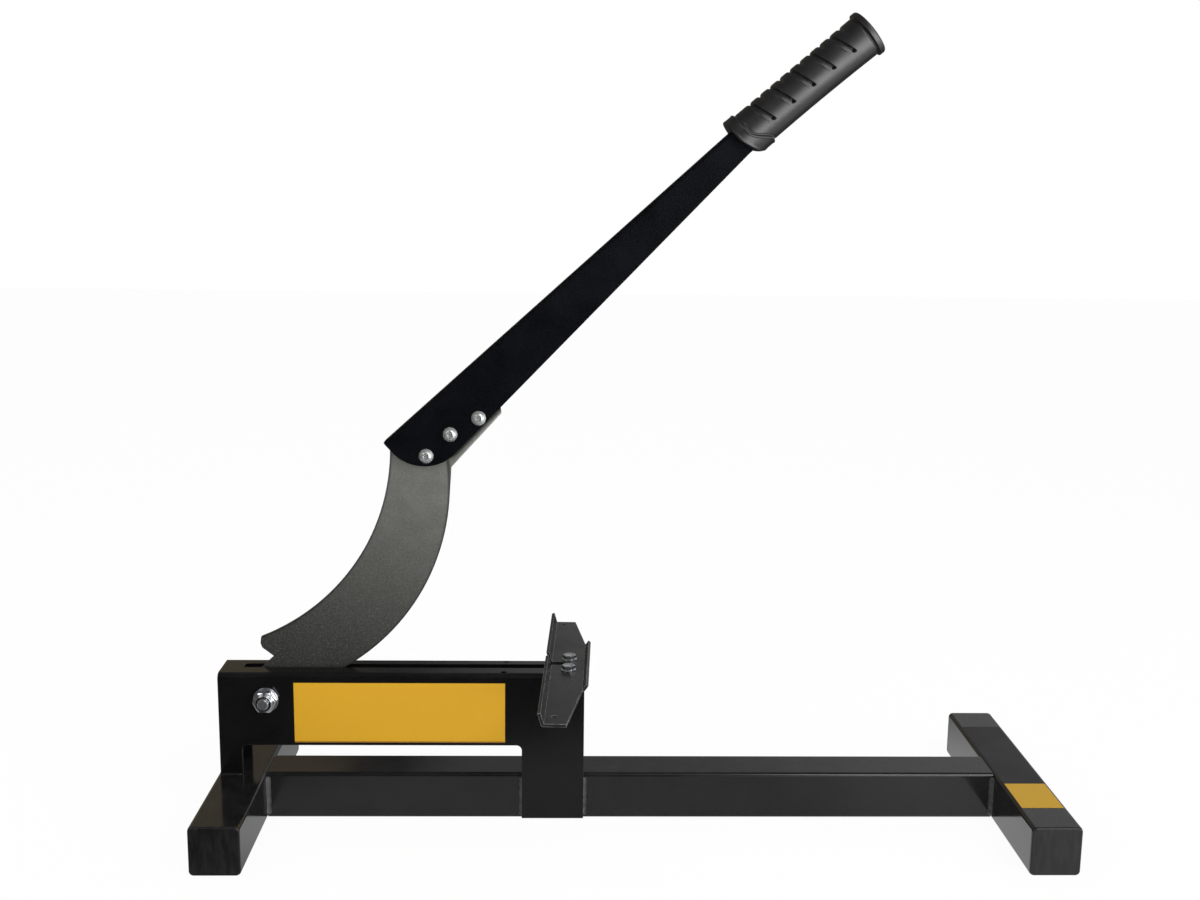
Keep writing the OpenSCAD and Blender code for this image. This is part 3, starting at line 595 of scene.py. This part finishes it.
def rim_distance(centre, radius):
    """Distance in metres of a place on the blade from one of its two arcs."""
    far = from_axis(tree, axes, PIVOT[0] + centre[0], PIVOT[2] + centre[1])
    return sums(tree, "ABSOLUTE", sums(tree, "SUBTRACT", far, radius * MM))


def below_spine(fall, below, depth):
    """A place's way along the lever's spine times the fall, plus its way down from the spine
    times below, less a depth in mm; the result is in metres."""
    x = fall * cos(TILT) + below * sin(TILT)
    z = fall * sin(TILT) - below * cos(TILT)
    shift = -(LEVER_START[0] * x + LEVER_START[2] * z + depth) * MM
    return sums(tree, "ADD", weighed(tree, axes["X"], x, axes["Z"], z), shift)


nearest = sums(tree, "MINIMUM", rim_distance(*CUTTING_ARC), rim_distance(*HOLLOW_ARC))
rim = ramp_up(tree, nearest, 0.0004, 0.0022, 1.0, 0.0)
# Painted light: the blade's colour runs from dark at the bottom to light towards the top and the
# right
painted_light_height = sums(tree, "ADD", axes["Z"], sums(tree, "MULTIPLY", axes["X"], 0.3))
height = ramp_up(tree, painted_light_height, 0.03, 0.3)
clouds = speckle(tree, 0.02, 4, 0.6)
grit = speckle(tree, 0.0016, 4, 0.75)
skin = blend_colour(tree, height, (0.04, 0.0405, 0.037, 1), (0.186, 0.19, 0.17, 1))
skin = blend_colour(tree, ramp_up(tree, clouds, 0.3, 0.7, 0.0, 0.3), skin, grey(0.06, 0.053))
skin = blend_colour(tree, ramp_up(tree, grit, 0.5, 0.68, 0.0, 0.3), skin, grey(0.24, 0.22))
skin = blend_colour(tree, ramp_up(tree, grit, 0.32, 0.46, 0.45, 0.0), skin, grey(0.02, 0.019))
skin = blend_colour(tree, sums(tree, "MULTIPLY", rim, 0.75), skin, (0.02, 0.021, 0.02, 1))
# Painted shadow of the lever's lower edge on the tang beside it, and a painted highlight along the
# tang's outer edge
tang = ramp_up(tree, below_spine(1, 0, 0), 0.022, 0.034)
painted_lever_shadow = ramp_up(tree, below_spine(LEVER_FALL, 1, LEVER_DEPTH), 0.0011, 0.0034, 0.85, 0.0)
worn_and_glinting = ramp_up(tree, below_spine(TANG_FALL, 1, TANG_DEPTH), -0.0013, -0.0005, 0.0, 0.6)
skin = blend_colour(tree, sums(tree, "MULTIPLY", painted_lever_shadow, tang), skin, grey(0.01))
skin = blend_colour(tree, sums(tree, "MULTIPLY", worn_and_glinting, tang), skin, grey(0.5, 0.48))
tree.links.new(skin, shader["Base Color"])
tree.links.new(ramp_up(tree, weighed(tree, clouds, 0.5, grit, 0.5), 0.3, 0.7, 0.42, 0.58),
               shader["Roughness"])
bump(tree, grit, 0.00004, shader["Normal"])
dress_node("blade", blade_steel)


# Lever
# A 2.5 mm sheet folded over into a channel that tapers towards the grip, powder-coated
# black. Three screws through it, with spacers inside, clamp the blade's tang.
SCREWS = (14.2, 31.0), (40.8, 30.8), (67.1, 36.3)      # along the spine and down from it
LEVER_HALF = 10.0           # half the lever's width
SCREW_R, SCREW_PITCH = 3.0, 1.0
SCREW_HEAD_R, SCREW_HEAD_H = 6.0, 3.6
SOCKET_FLATS = 4.6
NUT_FLATS, NUT_H = 10.0, 5.0
SCREW_END = LEVER_HALF + NUT_H + 1.0
lever_paint = powder_coat("lever_paint", deep=grey(0.0002, 0.0003), thin=(0.004, 0.0044, 0.006, 1),
                          gloss=(0.34, 0.48), peel=0.00005, wear_and_glint=0.3, bare_and_glint=grey(0.06, 0.07),
                          dust=0.02, level=0.022)
dress_node("lever_arm", lever_paint)
for name in ("tang_front_spacers", "tang_rear_spacers"):
    dress_node(name, plain_steel)


def on_lever(points):
    """Points (s, y, n) to the model: s along the spine, n down from it, y from the middle."""
    s, y, n = points[..., 0], points[..., 1], points[..., 2]
    return (LEVER_START + np.stack([s * cos(TILT) + n * sin(TILT), y,
                                    s * sin(TILT) - n * cos(TILT)], -1)) * MM


def at_screws(rings, ends="fill"):
    """Skins of turned rings moved to each screw's place on the lever."""
    x, y, z = rings[..., 0], rings[..., 1], rings[..., 2]
    return [ring_skin(on_lever(np.stack([x + s, y, n - z], -1)), ends) for s, n in SCREWS]


top = -LEVER_HALF - SCREW_HEAD_H
crown = np.linspace(0.28, 1.0, 10) * pi / 2
dome = np.concatenate([
    [(top + 0.35, 2.6)],
    np.stack([top + 0.1 + 3.0 * (1 - np.cos(crown)), 2.9 + 3.0 * np.linspace(0.1, 1.0, 10)], -1),
    [(-LEVER_HALF - 0.3, SCREW_HEAD_R), (-LEVER_HALF, SCREW_HEAD_R - 0.1),
     (-LEVER_HALF, SCREW_R)]])
socket = [(top + 2.0, 0.6), (top + 2.0, 2.3), (top + 1.85, 2.45), (top + 0.5, 2.45),
          (top + 0.3, 2.6)]
screw_rings = np.concatenate([
    turned(socket, hexagon(SOCKET_FLATS)), turned(dome), turned([(LEVER_HALF - 1.6, SCREW_R)]),
    thread(LEVER_HALF - 1.5, SCREW_END - 0.2, SCREW_R, SCREW_PITCH, 0.5),
    turned([(SCREW_END, 2.6), (SCREW_END, 1.0)])])
face = LEVER_HALF + NUT_H
nut_rings = turned(np.concatenate([
    [(LEVER_HALF, SCREW_R + 0.05)], chamfer(LEVER_HALF, NUT_FLATS, 1),
    chamfer(face, NUT_FLATS, -1)[::-1], [(face, 3.4), (face - 0.3, SCREW_R + 0.05)]]),
    hexagon(NUT_FLATS))
join_piece("tang_screws", at_screws(screw_rings), satin_zinc, "lever", ["lever_screws"])
join_piece("tang_nuts", at_screws(nut_rings, "join"), zinc, "lever", ["lever_nuts"])


# Grip
# A black rubber sleeve pushed over the lever's tail, with finger notches on its upper
# side, moulded grooves down both flanks, a raised collar and a flange at its end.
GRIP_START, GRIP_LENGTH = 368.0, 133.5      # from the lever's start, along its spine
GRIP_AXIS, GRIP_TILT = 9.6, radians(1.8)    # depth below the spine, and turn down from it
COLLAR, BODY, FLANGE = 18.75, 17.1, 19.0    # radii
NECK = 127.6                                # where the flange starts
FIRST_NOTCH, NOTCH_PITCH, LAST_NOTCH = 25.5, 10.0, 115.5
GROOVES = 5                                 # on each flank, one for every second notch
GROOVE_END = 101.0                          # angle at which a groove ends in its hook
TAIL_HALF, TAIL_ABOVE, TAIL_BELOW = 10.15, 9.75, 12.75  # the mouth around the lever's tail
AROUND, ALONG = 224, 430                    # points around the grip, and rings along it


def step(value, low, high):
    """Smooth rise from 0 to 1 between the low and the high value."""
    t = np.clip((value - low) / (high - low), 0, 1)
    return t * t * (3 - 2 * t)


def ridge(away, width, power=2):
    """Bell of height 1 that falls with the distance from its middle, in widths."""
    return np.exp(-(away / width) ** power)


def rounding(gap, edge):
    """How much a radius shrinks at a gap from the end, for a quarter-round edge."""
    near = 1 - np.clip(gap / edge, 0, 1)
    return edge * (1 - np.sqrt(1 - near ** 2))


def on_grip(s, y, n):
    """Points along the grip's axis s, across it y, and down from it n, to the model."""
    return on_lever(np.stack([GRIP_START + s * cos(GRIP_TILT) - n * sin(GRIP_TILT), y + 0 * s,
                              GRIP_AXIS + s * sin(GRIP_TILT) + n * cos(GRIP_TILT)], -1))


# Angle around the axis: 0 on the spine side, 90 degrees on each flank, 180 on the belly
around = np.arange(AROUND)[None, :] * 2 * pi / AROUND
flank = np.degrees(np.abs((around + pi) % (2 * pi) - pi))
# The collar's lower edge slants up the grip on the belly, and its upper edge follows in
# a smooth step
start = 13.0 * np.clip((flank - 85) / 95, 0, 1) ** 1.2
border = 10.0 + 13.5 * step(flank, 85, 150)
s = start + (GRIP_LENGTH - start) * np.linspace(0, 1, ALONG)[:, None]
# Collar, the belly's slight waist, the collar's two beads and the groove above it, and
# the flange with a groove before it
radius = BODY + (COLLAR - BODY) * (1 - step(s, border - 0.5, border + 0.7))
radius += (1.1 * (s / GRIP_LENGTH - 0.48) ** 2 * 4 - 0.35) * step(flank, 100, 150)
radius += 0.28 * ridge(s - border + 1.2, 0.8) + 0.2 * ridge(s - start - 1.6, 0.9)
radius -= 0.3 * ridge(s - border - 1.2, 0.7)
radius += (FLANGE - BODY) * step(s, NECK, NECK + 1.1) - 0.55 * ridge(s - NECK + 0.5, 0.7)
# Finger notches across the spine side, from the first to the last
to_notch = np.abs((s - FIRST_NOTCH + NOTCH_PITCH / 2) % NOTCH_PITCH - NOTCH_PITCH / 2)
notched = step(s, FIRST_NOTCH - 4, FIRST_NOTCH - 3) * (1 - step(s, LAST_NOTCH + 3, LAST_NOTCH + 4))
radius -= 1.75 * ridge(to_notch, 1.15, 1.5) * (1 - step(flank, 22, 48)) * notched
# Grooves that lean towards the grip's end on their way down the flanks, each with a slope
# and a bead before its slit
for number in range(GROOVES):
    lean = 6.0 * (flank / 103.5) ** 1.9
    off = s - (FIRST_NOTCH + 0.6 + 2 * NOTCH_PITCH * number + lean)
    reach = step(flank, 16, 34) * (1 - step(flank, GROOVE_END - 1, GROOVE_END + 3))
    slit = 1.9 * ridge(off, 0.95, 4)
    slope = 0.28 * np.clip(1 + (off + 0.6) / 3.2, 0, 1) * (off < 0)
    radius -= np.maximum(slit, slope) * reach
    radius += 0.14 * ridge(off + 3.9, 0.6) * reach
    hook = np.exp(-(((off + 0.5) / 1.25) ** 2 + ((flank - GROOVE_END) / 3.4) ** 2) ** 2)
    radius -= 1.7 * hook
radius = radius - rounding(s - start, 1.3) - rounding(GRIP_LENGTH - s, 1.9)

# The mouth's face, a short throat around the lever's tail, and the flange's dished end
across = np.maximum(np.abs(np.sin(around)), 1e-6)
upright = np.maximum(np.abs(np.cos(around)), 1e-6)
tail_room = np.minimum(TAIL_HALF / across,
                       np.where(np.cos(around) > 0, TAIL_ABOVE, TAIL_BELOW) / upright)
inward = np.array([1.0, 0.7, 0.3, 0.06])[:, None]
mouth_r = radius[:1] + (tail_room - radius[:1]) * inward
mouth_s = start + 0 * mouth_r
face_r = radius[-1:] * np.array([0.97, 0.93, 0.88, 0.86, 0.5, 0.06])[:, None]
face_s = GRIP_LENGTH - np.array([0.0, 0.05, 0.25, 1.2, 1.2, 1.2])[:, None] + 0 * face_r
radius = np.concatenate([tail_room, tail_room, mouth_r, radius, face_r])
s = np.concatenate([start + 4.0, start + 0.6, mouth_s, s, face_s])
grip_rings = on_grip(s, -radius * np.sin(around), -radius * np.cos(around))

grip_rubber, tree, shader = new_finish("grip_rubber", Specular_IOR_Level=0.5)
haze = speckle(tree, 0.015, 4, 0.6)
pebble = speckle(tree, 0.0009, 2)
tree.links.new(blend_colour(tree, haze, grey(0.003, 0.0034), grey(0.008, 0.009)),
               shader["Base Color"])
tree.links.new(ramp_up(tree, weighed(tree, haze, 0.6, pebble, 0.4), 0.3, 0.7, 0.35, 0.43),
               shader["Roughness"])
bump(tree, pebble, 0.00003, shader["Normal"])
join_piece("rubber_grip", [ring_skin(grip_rings)], grip_rubber, "lever", ["grip"],
           sharp=60)


# Fence
# One folded sheet bolted across the rails: the boards rest against its taller flange. It
# is slit for the blade, chamfered at both ends and painted dark grey.
FENCE_MIDDLE = LEFT_END + 293, -3.0, 130.5  # between the two bolts, on top of the sheet
FENCE_BOLT = 13.5                           # from there to each bolt
FENCE_TURN = radians(-2)
FLANGE_R, HEAD_FLATS, HEAD_TOP = 6.5, 10.0, 4.2         # of the bolts' heads
fence_paint = powder_coat("fence_paint", deep=grey(0.005, 0.0053), thin=grey(0.014, 0.0146),
                          gloss=(0.24, 0.34), peel=0.00002, wear_and_glint=0.6, bare_and_glint=grey(0.42), level=0.35)
dress_node("fence", fence_paint)
shank = [(-6.3, 1.0), (-6.3, 2.6), (-5.9, 3.0), (-0.1, 3.0)]
collar = [(0.02, 5.0), (0.02, FLANGE_R - 0.2), (0.2, FLANGE_R), (0.55, FLANGE_R),
          (0.8, FLANGE_R - 0.3), (1.15, 5.6)]
head = np.concatenate([[(1.2, 5.4)], chamfer(HEAD_TOP, HEAD_FLATS, -1)[::-1],
                       [(HEAD_TOP, 4.2), (HEAD_TOP - 0.15, 3.6), (HEAD_TOP - 0.15, 1.0)]])
rings = np.concatenate([turned(shank + collar), turned(head, hexagon(HEAD_FLATS))])
x, up, z = rings[..., 0], rings[..., 1], rings[..., 2]
upright = np.stack([x * cos(FENCE_TURN) - z * sin(FENCE_TURN),
                    x * sin(FENCE_TURN) + z * cos(FENCE_TURN), up], -1)
fence_heads = []
for away in (-FENCE_BOLT, FENCE_BOLT):
    middle = np.array(FENCE_MIDDLE) + [-away * sin(FENCE_TURN), away * cos(FENCE_TURN), 0]
    fence_heads.append(ring_skin((middle + upright) * MM))
join_piece("fence_screws", fence_heads, zinc, "base", ["fence_bolts"])


# Studio
# A plain white floor that runs into a white background, soft lamps, and the camera at
# the photographer's place. None of it belongs to the cutter.
FLOOR_HALF = 6.0            # metres
mesh = bpy.data.meshes.new("floor")
mesh.from_pydata([(x * FLOOR_HALF, y * FLOOR_HALF, 0) for x, y in
                  ((-1, -1), (1, -1), (1, 1), (-1, 1))], [], [(0, 1, 2, 3)])
floor = bpy.data.objects.new("floor", mesh)
bpy.context.scene.collection.objects.link(floor)
floor_white = bpy.data.materials.new("floor_white")
floor_white.use_nodes = True
tree = floor_white.node_tree
tree.nodes.clear()
path = shader_part(tree, "LightPath").outputs
seen = sums(tree, "MAXIMUM", path["Is Camera Ray"], path["Is Transmission Ray"])
spot = place_axes(tree)
# What glossy paint sees of the table: pale under the cutter and to its right, and dark
# in front and behind
near = sums(tree, "ADD", spot["Y"], sums(tree, "MULTIPLY", spot["X"], 0.35))
right_part = sums(tree, "MULTIPLY", ramp_up(tree, spot["X"], 0.1, 0.3, 0.0, 0.45),
                  ramp_up(tree, spot["Y"], -0.5, -0.3))
table = sums(tree, "ADD", ramp_up(tree, near, -0.32, -0.14, 0.02, 0.5), right_part)
table = sums(tree, "MULTIPLY", table, ramp_up(tree, spot["Y"], 0.05, 0.35, 1.0, 0.03))
glare = sums(tree, "MULTIPLY", path["Is Glossy Ray"], table)
bright = sums(tree, "MAXIMUM", seen, glare)
matt = shader_part(tree, "BsdfDiffuse", {"Color": grey(0.9)}).outputs[0]
glow = shader_part(tree, "Emission", {"Color": grey(1), "Strength": bright}).outputs[0]
share = sums(tree, "MULTIPLY", sums(tree, "MAXIMUM", seen, path["Is Glossy Ray"]), 0.95)
mixed = shader_part(tree, "MixShader", {0: share, 1: matt, 2: glow}).outputs[0]
tree.links.new(mixed, shader_part(tree, "OutputMaterial").inputs["Surface"])
mesh.materials.append(floor_white)

# The room: white where the camera looks, and for glossy rays a warm wall at the left,
# dark beside it, paler towards a bright window side at the right, with a dim ceiling
world = bpy.data.worlds.new("studio")
bpy.context.scene.world = world
world.use_nodes = True
tree = world.node_tree
tree.nodes.clear()
look = place_axes(tree, "Generated")
path = shader_part(tree, "LightPath").outputs


def banded(colour, bands):
    """Colour of the wall from left to right: each band (low, high, colour) takes over from the
    last one as the X of the direction goes from low to high."""
    for low, high, following in bands:
        colour = blend_colour(tree, ramp_up(tree, look["X"], low, high), colour, following)
    return colour


wall = banded((0.24, 0.19, 0.13, 1), [
    (-0.155, -0.125, grey(0.04, 0.042)), (-0.125, -0.06, grey(0.24)),
    (0.05, 0.3, grey(0.48, 0.49)), (0.5, 0.85, grey(1))])
low_wall = banded((0.28, 0.235, 0.155, 1), [
    (-0.21, -0.17, grey(0.1)), (-0.1, 0.02, grey(0.42)), (0.4, 0.75, grey(1))])
wall = blend_colour(tree, ramp_up(tree, look["Z"], 0.31, 0.36, 1.0, 0.0), wall, low_wall)
ceiling = blend_colour(tree, ramp_up(tree, look["Z"], 0.45, 0.65), wall, grey(0.15))
# Behind the camera the room is dark, but for a soft box high at the right
behind = ramp_up(tree, look["Y"], -0.5, -0.15, 1.0, 0.0)
softbox = sums(tree, "MULTIPLY", ramp_up(tree, look["Z"], 0.4, 0.55),
               ramp_up(tree, look["X"], -0.1, 0.2))
dark_side = blend_colour(tree, softbox, grey(0.03, 0.033), grey(1))
mirrored = blend_colour(tree, behind, ceiling, dark_side)
shiny = sums(tree, "MAXIMUM", path["Is Glossy Ray"], path["Is Transmission Ray"])
studio = blend_colour(tree, shiny, grey(0.72), mirrored)
studio = blend_colour(tree, path["Is Camera Ray"], studio, grey(1))
tree.links.new(shader_part(tree, "Background", {"Color": studio, "Strength": 1.0}).outputs[0],
               shader_part(tree, "OutputWorld").inputs["Surface"])


def soft_lamp(name, place, aim, size, watts, spread=180):
    """A square soft lamp at a place, facing the aim; its light stays within the spread."""
    lamp = bpy.data.lights.new(name, "AREA")
    lamp.shape, lamp.size, lamp.energy, lamp.spread = "SQUARE", size, watts, radians(spread)
    made = bpy.data.objects.new(name, lamp)
    bpy.context.scene.collection.objects.link(made)
    made.location = place
    made.rotation_euler = (Vector(aim) - Vector(place)).to_track_quat("-Z", "Y").to_euler()


soft_lamp("key_lamp", (0.9, -1.5, 1.7), aim=(0, 0, 0.2), size=0.9, watts=17)
soft_lamp("fill_lamp", (-1.3, -1.3, 1.3), aim=(0, 0, 0.2), size=0.8, watts=6)
soft_lamp("side_lamp", (0.955, -0.74, 0.27), aim=(0.33, 0, 0.6), size=2.0, watts=26, spread=90)

# The camera stands and turns as the photograph's perspective asks
CAMERA_PLACE = -0.0617107, -1.1578448, 0.5279819
PITCH_DOWN, YAW, ROLL = radians(10.4592), radians(1.5522), radians(-0.7088)
SENSOR_WIDTH, FOCAL_LENGTH, FAR_CLIP = 36.0, 42.895, 50
forward = np.array([sin(YAW) * cos(PITCH_DOWN), cos(YAW) * cos(PITCH_DOWN), -sin(PITCH_DOWN)])
level = np.array([cos(YAW), -sin(YAW), 0.0])
down = np.cross(forward, level)
right = cos(ROLL) * level + sin(ROLL) * down
down = -sin(ROLL) * level + cos(ROLL) * down
lens = bpy.data.cameras.new("photo_camera")
lens.sensor_width, lens.lens, lens.clip_end = SENSOR_WIDTH, FOCAL_LENGTH, FAR_CLIP
camera = bpy.data.objects.new("photo_camera", lens)
bpy.context.scene.collection.objects.link(camera)
camera.matrix_world = Matrix([[right[i], -down[i], -forward[i], CAMERA_PLACE[i]]
                              for i in range(3)] + [[0, 0, 0, 1]])
bpy.context.scene.camera = camera
bpy.context.scene.view_settings.view_transform = "Standard"
